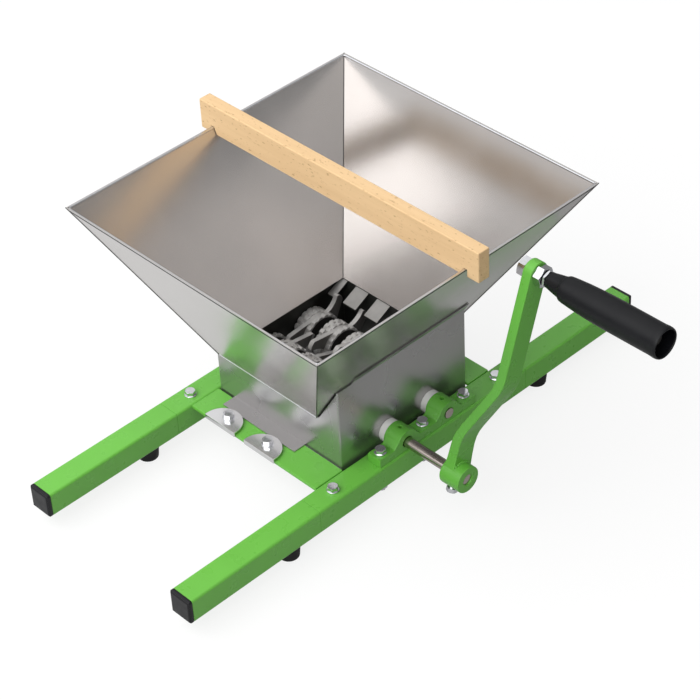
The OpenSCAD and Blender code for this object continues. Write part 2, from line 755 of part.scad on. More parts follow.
// Front packs run the other way round, after a single disc at the left end
module drive_discs() placed() color([0.62, 0.61, 0.59]) on_drive()
    for (k = [-1:drive_packs - 1]) for (j = [0:pack_plates - 1])
        if (j != narrow_disc_count && (k >= 0 || j == pack_plates - 1))
            mirror([0, 1, 0])
                toothed_disc(drive_x + k * pitch + j * plate_t, (k * pack_plates + j) * disc_turn);

// Hooked knives: shares of the tip radius and degrees from the root, out along the straight back of
// the hook, round its blunt tip and in along the hollow
hook_shares = [[0.48, -15], [0.974, 37.5], [0.993, 41], [1, 45], [0.99, 49.5], [0.955, 51.5], [0.88, 50],
    [0.804, 49], [0.7, 49.3], [0.612, 51], [0.54, 54.5], [0.46, 62]];

function hook_points(a) = [for (s = hook_shares) polar(s[0] * knife_r, a + s[1])];

module knife(x0, turn) along_x(x0, x0 + plate_t) difference() {
    union() {
        circle(r = knife_hub_r);
        for (i = [0:knife_hooks - 1]) polygon(hook_points(turn + i * full_turn / knife_hooks));
    }
    keyed_bore();
}

drive_knife_start = half_turn - knife_start / 2;

module driven_knives() placed() color([0.72, 0.71, 0.7]) on_driven()
    for (k = [0:driven_packs]) if (k < driven_packs || last_plates > wide_disc_count)
        knife(stack_x + k * pitch + wide_disc_count * plate_t, knife_start - k * knife_turn);

module drive_knives() placed() color([0.7, 0.69, 0.68]) on_drive() mirror([0, 1, 0])
    for (k = [0:drive_packs - 1])
        knife(drive_x + k * pitch + narrow_disc_count * plate_t, drive_knife_start + k * knife_turn);

// Spacer rings in the gaps, and longer ones each side of the gear
module ring(x0, x1) along_x(x0, x1) difference() {
    circle(r = spacer_r);
    keyed_bore();
}

module plain_ring(x0, x1) along_x(x0, x1) difference() {
    circle(r = spacer_r);
    circle(r = shaft_r + fit_gap);
}

module end_rings(stack_end) {
    ring(stack_end, gear_x);
    plain_ring(gear_end, stack_stop);
}

module drive_spacers() placed() color([0.5, 0.5, 0.5]) on_drive() {
    ring(stack_x, drive_x - ring_w - plate_t);
    for (k = [0:drive_packs - 1]) ring(drive_x + k * pitch - ring_w, drive_x + k * pitch);
    end_rings(drive_stack_end);
}

module driven_spacers() placed() color([0.5, 0.5, 0.5]) on_driven() {
    for (k = [1:driven_packs]) ring(stack_x + k * pitch - ring_w, stack_x + k * pitch);
    end_rings(driven_stack_end);
}

// Involute gears
pressure_angle = 20;
tip_share = 1;
root_share = 1.25;
flank_steps = 4;
pitch_r = shaft_spacing / 2;
base_r = pitch_r * cos(pressure_angle);
tip_r = pitch_r + tip_share * gear_module;
root_r = pitch_r - root_share * gear_module;

function involute_angle(r) = let (a = acos(min(1, base_r / r))) tan(a) * half_turn / PI - a;

half_tooth = half_turn / (2 * gear_teeth) - backlash / 2 / pitch_r * half_turn / PI;

function flank_angle(r) = half_tooth + involute_angle(pitch_r) - involute_angle(r);

function flank_radius(i) = base_r + (tip_r - base_r) * i / flank_steps;

function tooth_points(a) = concat([polar(root_r, a - flank_angle(base_r))],
    [for (i = [0:flank_steps]) polar(flank_radius(i), a - flank_angle(flank_radius(i)))],
    [for (i = [flank_steps:-1:0]) polar(flank_radius(i), a + flank_angle(flank_radius(i)))],
    [polar(root_r, a + flank_angle(base_r))]);

module gear(turn) along_x(gear_x, gear_end) difference() {
    polygon([for (i = [0:gear_teeth - 1]) each tooth_points(turn + i * full_turn / gear_teeth)]);
    keyed_bore();
}

module drive_gear() placed() color([0.45, 0.45, 0.47]) on_drive() gear(0);

module driven_gear() placed() color([0.45, 0.45, 0.47]) on_driven() gear(half_turn / gear_teeth);

// Crank: hub, flat arm with a sideways step, and an eye
bend_share = 0.24;
bend_steps = 12;

function ease(t) = t < bend_share ? t * t / (2 * bend_share * (1 - bend_share))
    : t > 1 - bend_share ? 1 - (1 - t) * (1 - t) / (2 * bend_share * (1 - bend_share))
    : (t - bend_share / 2) / (1 - bend_share);

function arm_side(side) = concat([[arm_low_x + side * arm_t / 2, 0]],
    [for (i = [0:bend_steps]) let (t = i / bend_steps)
        [arm_low_x + arm_step * ease(t) + side * arm_t / 2, step_from + (step_to - step_from) * t]],
    [[arm_high_x + side * arm_t / 2, crank_len]]);

function flipped(list) = [for (i = [len(list) - 1:-1:0]) list[i]];

module on_crank() on_drive() rotate([-crank_lean, 0, 0]) children();

module at_eye() on_crank() translate([0, 0, crank_len]) children();

set_screw_r = 3;

module crank_arm() placed() color([0.4, 0.72, 0.26]) difference() {
    union() {
        on_drive() rod(hub_r, hub_face_x - hub_w, hub_face_x);
        on_crank() along_y(-arm_w / 2, arm_w / 2) polygon(concat(arm_side(-1), flipped(arm_side(1))));
        at_eye() rod(arm_w / 2, arm_high_x - arm_t / 2, arm_high_x + arm_t / 2);
    }
    on_drive() chamfered_bore(shaft_r + fit_gap, hub_face_x - hub_w, hub_face_x);
    at_eye() rod(bolt_r + fit_gap, arm_high_x - arm_t, arm_high_x + arm_t);
    on_crank() translate([arm_low_x, 0, -hub_r - over]) cylinder(r = set_screw_r + fit_gap, h = hub_r);
}

set_screw_proud = 3.4;
set_screw_head_r = 4;
set_screw_head_h = 3.6;

module crank_set_screw() placed() color([0.82, 0.82, 0.84]) on_crank() translate([arm_low_x, 0, 0]) {
    translate([0, 0, -hub_r - set_screw_proud])
        cylinder(r = set_screw_r, h = hub_r + set_screw_proud - shaft_r - 2 * fit_gap);
    translate([0, 0, -hub_r - set_screw_proud - set_screw_head_h]) linear_extrude(height = set_screw_head_h)
        hexagon(2 * set_screw_head_r);
}

// Handle: the bolt runs through the grip, its head sits in the grip's end recess
bolt_tail = 2.5;
bolt_head_r = 6.6;
bolt_head_h = 4;
recess_floor_x = grip_end_x - recess_depth;
bolt_inner_x = arm_high_x - arm_t / 2 - handle_nut_t - bolt_tail;

module handle_bolt() placed() color([0.8, 0.8, 0.82]) at_eye() {
    rod(bolt_r, bolt_inner_x, recess_floor_x + grip_play + bolt_head_h / 2);
    rod(bolt_head_r, recess_floor_x + grip_play, recess_floor_x + grip_play + bolt_head_h);
}

module handle_nut(x0, x1, af) along_x(x0, x1) difference() {
    hexagon(af);
    circle(r = bolt_r + fit_gap);
}

module handle_nuts() placed() color([0.82, 0.82, 0.84]) at_eye() {
    handle_nut(arm_high_x - arm_t / 2 - handle_nut_t, arm_high_x - arm_t / 2, handle_nut_af);
    handle_nut(arm_high_x + arm_t / 2, arm_high_x + arm_t / 2 + handle_nut_t, handle_nut_af);
    handle_nut(collar_x, collar_x + collar_t, collar_af);
}

// Grip outline: shares of its length, then shares of the way from neck to full radius
grip_shares = [[0, 0], [0.12, 0.36], [0.145, 0.6], [0.23, 0.72], [0.31, 0.83], [0.42, 0.95],
    [0.93, 0.96], [0.96, 1], [0.99, 0.98], [1, 0.88]];
neck_chamfer = 0.8;

module grip() placed() color([0.07, 0.07, 0.08]) at_eye() difference() {
    translate([grip_x, 0, 0]) rotate([0, 90, 0]) rotate_extrude() polygon(concat([[0, 0],
        [neck_r - neck_chamfer, 0]], [for (p = grip_shares)
            [neck_r + (grip_r - neck_r) * p[1], max(neck_chamfer, grip_len * p[0])]], [[0, grip_len]]));
    rod(bolt_r + fit_gap, grip_x - over, grip_end_x + over);
    rod(recess_r, recess_floor_x, grip_end_x + over);
}

// Wooden bar: the rim of each side wall sits in a notch, cut to the slope of the wall inside
bar_low = rim_z - bar_notch;
bar_top = bar_low + bar_h;

function notch(side, slope) = [[side * (rim_x / 2 + notch_gap), bar_low - over],
    [side * (rim_x / 2 + notch_gap), rim_z],
    [side * (rim_x / 2 - sheet - notch_gap), rim_z],
    [side * (rim_x / 2 - sheet - notch_gap - slope * (bar_notch + over)), bar_low - over]];

module wooden_bar() placed() color([0.87, 0.72, 0.54]) translate([0, bar_y, 0])
    along_y(-bar_w / 2, bar_w / 2) difference() {
        translate([-bar_len / 2, bar_low]) square([bar_len, bar_h]);
        polygon(notch(-1, left_slope));
        polygon(notch(1, right_slope));
    }

rail_left();
rail_right();
cross_plate_front();
cross_plate_rear();
leg_front_left();
leg_front_right();
leg_rear_left();
leg_rear_right();
leg_end_caps();
rubber_feet();
foot_screws();
leg_bolts();
leg_nuts();
housing_left();
housing_right();
housing_front();
housing_rear();
gear_partition();
hopper_front();
hopper_rear();
hopper_left();
hopper_right();
comb_front();
comb_rear();
lip_clamps();
clamp_screws();
clamp_nuts();
bearing_block_left();
bearing_block_right();
bearing_bolts();
bearing_nuts();
nylon_bushes();
drive_shaft();
drive_key();
drive_discs();
drive_knives();
drive_spacers();
drive_gear();
driven_shaft();
driven_key();
driven_discs();
driven_knives();
driven_spacers();
driven_gear();
crank_arm();
crank_set_screw();
handle_bolt();
handle_nuts();
grip();
wooden_bar();
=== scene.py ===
# %% [markdown]
# # A hand cranked apple scratter
# The machine stands on four square tubes. A stainless hopper feeds fruit on to two toothed
# rollers, and a cranked arm turns them. The drawing gives every solid its place, so this lesson
# starts from those solids and spends its time on surfaces, edges and small fittings.

# %% Load the frame
import json
import math
import random

import bpy
from mathutils import Matrix, Vector

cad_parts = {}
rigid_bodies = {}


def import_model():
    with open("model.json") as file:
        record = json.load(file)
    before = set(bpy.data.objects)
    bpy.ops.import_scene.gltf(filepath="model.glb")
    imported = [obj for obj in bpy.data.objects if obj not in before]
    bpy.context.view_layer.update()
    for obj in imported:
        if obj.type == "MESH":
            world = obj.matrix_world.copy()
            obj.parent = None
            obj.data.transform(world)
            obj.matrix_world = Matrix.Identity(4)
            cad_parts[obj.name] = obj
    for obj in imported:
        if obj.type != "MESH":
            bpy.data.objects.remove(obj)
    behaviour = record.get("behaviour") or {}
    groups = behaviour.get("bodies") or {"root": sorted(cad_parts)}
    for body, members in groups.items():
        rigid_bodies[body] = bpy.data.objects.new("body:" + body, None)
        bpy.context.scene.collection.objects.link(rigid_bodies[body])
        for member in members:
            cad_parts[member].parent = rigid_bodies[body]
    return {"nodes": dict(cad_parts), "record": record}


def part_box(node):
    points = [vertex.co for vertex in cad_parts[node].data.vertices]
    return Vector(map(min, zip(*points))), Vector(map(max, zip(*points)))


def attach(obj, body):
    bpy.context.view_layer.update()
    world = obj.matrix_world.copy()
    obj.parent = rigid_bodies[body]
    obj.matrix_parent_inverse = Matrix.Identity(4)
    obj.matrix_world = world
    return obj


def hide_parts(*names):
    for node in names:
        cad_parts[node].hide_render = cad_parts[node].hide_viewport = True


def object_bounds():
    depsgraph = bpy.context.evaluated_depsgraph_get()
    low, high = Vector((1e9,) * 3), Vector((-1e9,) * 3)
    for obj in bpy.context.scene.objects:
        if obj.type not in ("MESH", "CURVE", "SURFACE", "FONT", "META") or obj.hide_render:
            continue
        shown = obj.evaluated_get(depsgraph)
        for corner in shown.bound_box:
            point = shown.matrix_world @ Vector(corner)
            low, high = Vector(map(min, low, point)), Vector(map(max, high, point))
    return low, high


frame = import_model()
nodes = frame["nodes"]
drawn_low, drawn_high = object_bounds()
print("solids in the frame:", len(nodes))

# %% [markdown]
# ## Lengths
# Blender counts in metres and a workshop counts in millimetres. One factor turns the second into
# the first. Places are read from the drawing's own boxes, so nothing is fitted by eye. The record
# says which body carries each solid, and a new piece takes its body from there and its finish
# from the solid it stands for.

# %% Millimetres, boxes and the record's tables
MM = 0.001
ground = drawn_low.z
machine_middle = (drawn_low + drawn_high) / 2
bodies = frame["record"]["behaviour"]["bodies"]
body_of = {name: body for body, names in bodies.items() for name in names}


def middle(node):
    low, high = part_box(node)
    return (low + high) / 2


print("machine size in mm:", [round(v / MM, 1) for v in drawn_high - drawn_low])

# %% [markdown]
# ## Material helpers
# All finishes are made from nodes that read Object coordinates, so a pattern keeps its real size
# on every piece. A small recipe object saves repeating the same links: it holds the node tree,
# adds nodes, and knows where the shader is. Heights of bumps are given in millimetres.


# %% One step of arithmetic in a node tree
def math_node(tree, operation, first, second):
    made = tree.nodes.new("ShaderNodeMath")
    made.operation = operation
    for socket, value in zip(made.inputs, (first, second)):
        if isinstance(value, float):
            socket.default_value = value
        else:
            tree.links.new(value, socket)
    return made.outputs["Value"]


print("arithmetic helper ready")


# %% A recipe for a material
class Finish:
    def __init__(self, name):
        self.material = bpy.data.materials.new(name)
        self.material.use_nodes = True
        self.tree = self.material.node_tree
        self.shader = self.tree.nodes["Principled BSDF"]
        self.coords = self.tree.nodes.new("ShaderNodeTexCoord").outputs["Object"]

    def node(self, kind, **values):
        made = self.tree.nodes.new(kind)
        for key, value in values.items():
            setattr(made, key, value)
        return made

    def link(self, start, end):
        self.tree.links.new(start, end)

    def set(self, **values):
        for key, value in values.items():
            self.shader.inputs[key.replace("_", " ")].default_value = value

    def stretched(self, scale):
        mapping = self.node("ShaderNodeMapping")
        mapping.inputs["Scale"].default_value = scale
        self.link(self.coords, mapping.inputs["Vector"])
        return mapping.outputs["Vector"]

    def noise(self, scale, detail=2.0, roughness=0.5, stretch=None):
        made = self.node("ShaderNodeTexNoise")
        made.inputs["Scale"].default_value = scale
        made.inputs["Detail"].default_value = detail
        made.inputs["Roughness"].default_value = roughness
        self.link(self.stretched(stretch) if stretch else self.coords, made.inputs["Vector"])
        return made.outputs["Fac"]

    def ramp(self, source, *stops):
        made = self.node("ShaderNodeValToRGB")
        ramp = made.color_ramp
        while len(ramp.elements) < len(stops):
            ramp.elements.new(0.5)
        for element, (place, colour) in zip(ramp.elements, stops):
            element.position = place
            element.color = (*colour, 1.0)
        self.link(source, made.inputs["Fac"])
        return made.outputs["Color"]

    def spread(self, source, low, high, start=0.35, stop=0.65):
        made = self.node("ShaderNodeMapRange")
        limits = (("From Min", start), ("From Max", stop), ("To Min", low), ("To Max", high))
        for key, value in limits:
            made.inputs[key].default_value = value
        self.link(source, made.inputs["Value"])
        return made.outputs["Result"]

    def math(self, operation, first, second):
        return math_node(self.tree, operation, first, second)

    def vector_math(self, operation, source, fixed=None, output="Vector"):
        made = self.node("ShaderNodeVectorMath", operation=operation)
        self.link(source, made.inputs[0])
        if fixed is not None:
            made.inputs[1].default_value = fixed
        return made.outputs[output]

    def facing(self, direction):
        normal = self.node("ShaderNodeNewGeometry").outputs["True Normal"]
        return self.vector_math("DOT_PRODUCT", normal, direction, "Value")

    def mix(self, share, first, second):
        made = self.node("ShaderNodeMix", data_type="RGBA")
        self.link(share, made.inputs["Factor"])
        for socket, value in ((made.inputs["A"], first), (made.inputs["B"], second)):
            if isinstance(value, tuple):
                socket.default_value = (*value, 1.0)
            else:
                self.link(value, socket)
        return made.outputs["Result"]

    def colour(self, source):
        self.link(source, self.shader.inputs["Base Color"])

    def roughness(self, source):
        self.link(source, self.shader.inputs["Roughness"])

    def bump(self, source, height_mm):
        made = self.node("ShaderNodeBump")
        made.inputs["Strength"].default_value = 1.0
        made.inputs["Distance"].default_value = height_mm * MM
        self.link(source, made.inputs["Height"])
        if self.shader.inputs["Normal"].links:
            self.link(self.shader.inputs["Normal"].links[0].from_socket, made.inputs["Normal"])
        self.link(made.outputs["Normal"], self.shader.inputs["Normal"])


def shaded(base, factor):
    return tuple(min(1.0, c * factor) for c in base)


print("material helper ready")

# %% [markdown]
# ## Green powder coat
# Powder coat flows as it bakes, so it is glossy with a faint orange peel. Fine noise as a bump
# gives the peel, and a wide, weak noise keeps the colour from being flat. The castings were rougher
# before they were coated, so their peel is coarser and higher.


# %% Powder coat on tube and on castings
def powder_coat(name, base, peel, peel_height):
    paint = Finish(name)
    paint.set(IOR=1.5)
    cloud = paint.noise(22.0, 3.0)
    paint.colour(paint.ramp(cloud, (0.3, shaded(base, 0.96)), (0.7, shaded(base, 1.03))))
    paint.roughness(paint.spread(paint.noise(90.0, 2.0), 0.26, 0.38))
    paint.bump(paint.noise(peel, 0.0), peel_height)
    return paint


tube_green = (0.138, 0.462, 0.056)
cast_green = (0.118, 0.415, 0.046)
tube_paint = powder_coat("green_powder_coat", tube_green, peel=300.0, peel_height=0.008)
cast_paint = powder_coat("green_cast_paint", cast_green, peel=240.0, peel_height=0.04)
print("paints:", tube_paint.material.name, cast_paint.material.name)

# %% [markdown]
# ## Stainless sheet
# Rolled sheet is a soft mirror. Its look comes from what it reflects, so the hopper's base stays a
# plain light grey; the box's base is darker, as painted shade. A very low and wide bump bends the
# reflections as thin sheet does after folding, and fine rolling lines along one direction change
# the roughness a little.


# %% Sheet metals
across_grain, along_grain = 700.0, 14.0
line_height = 0.002


def sheet_steel(name, base, low, high, grain_axis, wave, metal=1.0):
    steel = Finish(name)
    steel.set(Metallic=metal)
    stretch = [across_grain] * 3
    stretch["XYZ".index(grain_axis)] = along_grain
    lines = steel.noise(1.0, 3.0, 0.6, stretch=stretch)
    cloud = steel.noise(11.0, 3.0, 0.55)
    steel.colour(steel.ramp(cloud, (0.3, shaded(base, 0.93)), (0.7, base)))
    steel.roughness(steel.spread(cloud, low, high))
    steel.bump(lines, line_height)
    steel.bump(steel.noise(7.0, 1.0), wave)
    return steel


hopper_steel = sheet_steel("stainless_sheet", (0.66, 0.635, 0.62), 0.19, 0.25, "X", 0.08, 0.88)
# The box's sheet has a darker base than the hopper's: painted shade for the darker surroundings it
# reflects.
housing_steel = sheet_steel("stainless_box", (0.47, 0.46, 0.46), 0.25, 0.32, "Z", 0.06, 0.92)
clamp_steel = sheet_steel("clamp_steel", (0.82, 0.82, 0.83), 0.14, 0.24, "X", 0.2)
print("sheet metals:", hopper_steel.material.name, housing_steel.material.name,
      clamp_steel.material.name)

# %% [markdown]
# ## Plated, turned and dark metals
# Zinc is bright with a slight sparkle. A turned shaft carries fine rings from the lathe, which pull
# its highlight out along the shaft. The gears are dark and dull. The spacers take the same dark
# steel as painted shade between the plates, and the inside of the box takes a dark, dull colour as
# painted shade.
# One function with different numbers makes them all.


# %% Zinc, turned and gear steel, and the painted shade of the box
def plain_metal(name, base, low, high, height, speckle=1.0, stretch=None):
    metal = Finish(name)
    metal.set(Metallic=1.0)
    cloud = metal.noise(speckle, 3.0, 0.6, stretch=stretch)
    metal.colour(metal.ramp(cloud, (0.25, shaded(base, 0.84)), (0.75, base)))
    metal.roughness(metal.spread(metal.noise(120.0, 2.0), low, high))
    metal.bump(cloud, height)
    return metal


lathe_rings = (2200.0, 30.0, 30.0)
zinc = plain_metal("zinc_plate", (0.74, 0.75, 0.78), 0.08, 0.14, 0.04, speckle=300.0)
turned_steel = plain_metal("turned_steel", (0.52, 0.46, 0.42), 0.16, 0.24, 0.012,
                           stretch=lathe_rings)
gear_steel = plain_metal("gear_steel", (0.07, 0.067, 0.064), 0.3, 0.42, 0.03, speckle=240.0)
# The inside of the box is coloured near black: painted shade where little light reaches.
inside_shade_steel = plain_metal("painted_inside_shade", (0.045, 0.046, 0.042), 0.42, 0.55, 0.03,
                            speckle=60.0)
print("metals:", zinc.material.name, turned_steel.material.name, gear_steel.material.name)

# %% [markdown]
# ## Raw plate
# The roller plates and the combs are cut from raw plate and scatter light widely. Their shade is
# painted into their colour. A plate's flat faces are painted darker than its cut edge, as the
# shade of its neighbours, and darkest near the shaft. The hooks that reach out past the discs are
# painted dark as well, as painted shade. The True Normal tells a flat face from a cut edge, and the
# distance from the nearer shaft tells the depth. On the combs the faces that look up are painted
# light and the rest nearly black, as painted light and shade.


# %% What both have in common
def raw_plate(name):
    plate = Finish(name)
    plate.set(Metallic=0.5)
    cloud = plate.noise(70.0, 3.0, 0.6)
    plate.roughness(plate.spread(cloud, 0.42, 0.6))
    plate.bump(plate.noise(500.0, 2.0), 0.03)
    return plate, cloud


print("raw plate helper ready")

# %% Roller plates
roller_steel, plate_cloud = raw_plate("roller_steel")
# Flat faces are painted darker than cut edges: painted shade from the neighbouring plates.
plate_facing = roller_steel.math("ABSOLUTE", roller_steel.facing((1.0, 0.0, 0.0)), 0.0)
flat_shade_share = roller_steel.spread(plate_facing, 0.0, 1.0, 0.6, 0.9)


def from_shaft(shaft):
    offset = roller_steel.vector_math("SUBTRACT", roller_steel.coords, middle(shaft))
    across_shaft = roller_steel.vector_math("MULTIPLY", offset, (0.0, 1.0, 1.0))
    return roller_steel.vector_math("LENGTH", across_shaft, output="Value")


depth = roller_steel.math("MINIMUM", from_shaft("drive_shaft"), from_shaft("driven_shaft"))
# Near the shaft the flat faces are painted almost black, and the hooks dark: painted shade.
deep_start, deep_stop = 16.2 * MM, 17.0 * MM
hook_start, hook_stop = 19.1 * MM, 19.8 * MM
raw_low, deep_shade_colour, hook_shade_colour = (0.40, 0.39, 0.38), (0.03, 0.028, 0.026), (0.12, 0.115, 0.11)
deep_shade_share = roller_steel.spread(depth, 1.0, 0.0, deep_start, deep_stop)
hook_shade_share = roller_steel.spread(depth, 0.0, 1.0, hook_start, hook_stop)
cut_colour = roller_steel.ramp(plate_cloud, (0.3, raw_low), (0.7, (0.54, 0.53, 0.515)))
plate_colour = roller_steel.ramp(plate_cloud, (0.3, raw_low), (0.7, (0.50, 0.49, 0.48)))
plate_with_hook_shade = roller_steel.mix(hook_shade_share, plate_colour, hook_shade_colour)
shaded_plate_colour = roller_steel.mix(deep_shade_share, plate_with_hook_shade, deep_shade_colour)
roller_steel.colour(roller_steel.mix(flat_shade_share, cut_colour, shaded_plate_colour))
print("roller plates:", len(roller_steel.tree.nodes), "nodes")

# %% Combs
comb_steel, comb_cloud = raw_plate("comb_steel")
# Faces that look up are painted light and all other faces nearly black: painted light and shade.
lit_top_share = comb_steel.spread(comb_steel.facing((0.0, 0.0, 1.0)), 0.0, 1.0, 0.15, 0.4)
lit_top_colour = comb_steel.ramp(comb_cloud, (0.3, (0.27, 0.265, 0.255)), (0.7, (0.38, 0.37, 0.36)))
comb_steel.colour(comb_steel.mix(lit_top_share, (0.03, 0.032, 0.028), lit_top_colour))
print("combs:", len(comb_steel.tree.nodes), "nodes")

# %% [markdown]
# ## Plastics, rubber and wood
# Nylon is a waxy white, the caps and the grip are black and moulded, and rubber is duller. Beech is
# pale and even, with short dark flecks along the grain: stretched noise, cut off high, leaves only
# the few flecks, and a much weaker stretched noise gives the fibre.


# %% Plastics and rubber
def plastic(name, base, rough, grain, height):
    made = Finish(name)
    made.set(IOR=1.46, Specular_IOR_Level=0.3)
    made.colour(made.ramp(made.noise(60.0, 3.0), (0.3, shaded(base, 0.85)), (0.7, base)))
    made.roughness(made.spread(made.noise(160.0, 2.0), rough - 0.04, rough + 0.06))
    made.bump(made.noise(grain, 2.0), height)
    return made


nylon = plastic("white_nylon", (0.80, 0.80, 0.78), 0.38, 500.0, 0.02)
cap_plastic = plastic("black_cap_plastic", (0.012, 0.012, 0.014), 0.38, 900.0, 0.04)
rubber = plastic("black_rubber", (0.012, 0.012, 0.013), 0.62, 700.0, 0.08)
grip_plastic = plastic("black_grip_plastic", (0.0040, 0.0043, 0.0058), 0.36, 700.0, 0.02)
print("plastics and rubber ready")

# %% Beech
beech = Finish("beech")
beech.set(IOR=1.4, Roughness=0.62)
fibre = beech.noise(1.0, 3.0, 0.5, stretch=(12.0, 180.0, 180.0))
flecks = beech.noise(1.0, 2.0, 0.5, stretch=(220.0, 620.0, 620.0))
wood_colour = beech.ramp(fibre, (0.25, (0.70, 0.475, 0.255)), (0.75, (0.77, 0.54, 0.30)))
fleck_colour = (0.34, 0.19, 0.08)
fleck_share = beech.spread(flecks, 0.0, 0.6, 0.635, 0.71)
beech.colour(beech.mix(fleck_share, wood_colour, fleck_colour))
beech.bump(fibre, 0.05)
print("wood ready")

# %% The finish of each solid
finishes = {
    tube_paint: ["rail_left", "rail_right", "cross_plate_front", "cross_plate_rear",
                 "leg_front_left", "leg_front_right", "leg_rear_left", "leg_rear_right"],
    cast_paint: ["bearing_block_left", "bearing_block_right", "crank_arm"],
    hopper_steel: ["hopper_front", "hopper_rear", "hopper_left", "hopper_right"],
    housing_steel: ["housing_left", "housing_right", "housing_front", "housing_rear",
                    "gear_partition"],
    clamp_steel: ["lip_clamps"],
    zinc: ["clamp_screws", "clamp_nuts", "bearing_bolts", "bearing_nuts", "leg_bolts", "leg_nuts",
           "foot_screws", "crank_set_screw", "handle_bolt", "handle_nuts"],
    turned_steel: ["drive_shaft", "driven_shaft"],
    # The spacers between the roller plates take this near-black steel as painted shade in the gaps.
    gear_steel: ["drive_key", "driven_key", "drive_gear", "driven_gear", "drive_spacers",
                 "driven_spacers"],
    roller_steel: ["drive_discs", "drive_knives", "driven_discs", "driven_knives"],
    comb_steel: ["comb_front", "comb_rear"],
    nylon: ["nylon_bushes"],
    cap_plastic: ["leg_end_caps"],
    rubber: ["rubber_feet"],
    grip_plastic: ["grip"],
    beech: ["wooden_bar"],
}
finish_of = {name: finish for finish, names in finishes.items() for name in names}
for name, finish in finish_of.items():
    nodes[name].data.materials.clear()
    nodes[name].data.materials.append(finish.material)
print("solids with a finish:", len(finish_of))

# %% [markdown]
# ## Eased edges
# A drawn solid has knife-sharp edges, and nothing in a workshop does. Each visible solid gets a
# copy whose loose triangles are merged and whose flat faces are joined again, and the Bevel
# modifier then rounds every edge sharper than a limit. Weighted normals keep the flat faces flat
# in reflections. The drawn solid stays as it is and is only hidden behind its copy.


# %% Work on one object at a time
def only(piece):
    bpy.ops.object.select_all(action="DESELECT")
    piece.select_set(True)
    bpy.context.view_layer.objects.active = piece


def edit(piece):
    only(piece)
    bpy.ops.object.mode_set(mode="EDIT")
    bpy.ops.mesh.select_all(action="SELECT")


def leave_edit():
    bpy.ops.object.mode_set(mode="OBJECT")


def apply_modifier(piece, kind, **values):
    only(piece)
    bpy.ops.object.modifier_add(type=kind)
    added = piece.modifiers[-1]
    for key, value in values.items():
        setattr(added, key, value)
    bpy.ops.object.modifier_apply(modifier=added.name)


def join(*pieces):
    only(pieces[0])
    for piece in pieces[1:]:
        piece.select_set(True)
    bpy.ops.object.join()
    return bpy.context.object


def settle(piece, name, like, finish=None, replaces=True, smooth=34.0):
    only(piece)
    bpy.ops.object.transform_apply(location=True, rotation=True, scale=True)
    piece.name = name
    piece.data.name = name
    piece.data.materials.clear()
    piece.data.materials.append((finish or finish_of[like]).material)
    bpy.ops.object.shade_smooth_by_angle(angle=math.radians(smooth))
    apply_modifier(piece, "WEIGHTED_NORMAL", mode="FACE_AREA", weight=50, keep_sharp=True)
    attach(piece, body_of[like])
    if replaces:
        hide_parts(like)


print("object helpers ready")


# %% Pick edges by place, and work on edges only
def pick_edges(piece, wanted):
    edit(piece)
    bpy.ops.mesh.select_all(action="DESELECT")
    leave_edit()
    for edge in piece.data.edges:
        edge.select = wanted(*[piece.data.vertices[v].co for v in edge.vertices])
    return sum(edge.select for edge in piece.data.edges)


def edit_edges(piece):
    only(piece)
    bpy.context.tool_settings.mesh_select_mode = (False, True, False)
    bpy.ops.object.mode_set(mode="EDIT")


def leave_edges():
    leave_edit()
    bpy.context.tool_settings.mesh_select_mode = (True, False, False)


print("edge helpers ready")


# %% Copy a solid and merge it
def merged_copy(node):
    only(nodes[node])
    bpy.ops.object.duplicate()
    piece = bpy.context.object
    bpy.ops.object.parent_clear(type="CLEAR_KEEP_TRANSFORM")
    bpy.ops.mesh.customdata_custom_splitnormals_clear()
    edit(piece)
    bpy.ops.mesh.remove_doubles(threshold=0.002 * MM)
    bpy.ops.mesh.dissolve_limited(angle_limit=math.radians(0.3))
    leave_edit()
    return piece


def ease(piece, width, segments=2, limit=32.0):
    apply_modifier(piece, "BEVEL", width=width * MM, segments=segments, limit_method="ANGLE",
                   angle_limit=math.radians(limit), use_clamp_overlap=False)


print("modelling helpers ready")


# %% [markdown]
# ## Seams and the lower edge
# The four sheets of the hopper are welded along their corners, and each weld shows as a thin dark
# line. The lines already exist as the long edges of the side sheets, so a copy keeps only those
# edges, becomes a curve with a fine round section, and turns back into a mesh. The lower edge of
# the front and right sheets is made the same way in bright zinc: its round catches light, and its
# brighter finish adds a painted highlight.


# %% Lines from a sheet's edges
def edge_line(sources, wanted, radius, name, finish):
    lines = join(*[merged_copy(source) for source in sources])
    unwanted = pick_edges(lines, lambda a, b: not wanted(a, b))
    print(name, "edges kept:", len(lines.data.edges) - unwanted)
    edit_edges(lines)
    bpy.ops.mesh.delete(type="EDGE")
    leave_edges()
    bpy.ops.object.convert(target="CURVE")
    lines.data.bevel_depth = radius * MM
    lines.data.bevel_resolution = 2
    lines.data.use_fill_caps = True
    bpy.ops.object.convert(target="MESH")
    settle(bpy.context.object, name, "hopper_front", finish, replaces=False, smooth=60.0)


throat_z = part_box("hopper_front")[0].z
corner_rise, side_length = 100 * MM, 60 * MM


def is_corner(a, b):
    return abs(a.z - b.z) > corner_rise


def is_lower_edge(a, b):
    return max(a.z, b.z) < throat_z + 0.1 * MM and (a - b).length > side_length


seam_r, lower_edge_r = 0.42, 0.4
edge_line(["hopper_left", "hopper_right"], is_corner, seam_r, "hopper_corner_seams", gear_steel)
# The lower edge takes the brighter zinc: partly a painted highlight.
edge_line(["hopper_front", "hopper_right"], is_lower_edge, lower_edge_r, "hopper_lower_edge",
          zinc)

# %% [markdown]
# ## Ease the plain solids
# Each width below is in millimetres, and goes to the solids listed beside it. The inward faces
# of the box take a second, near-black material: painted shade inside the box.

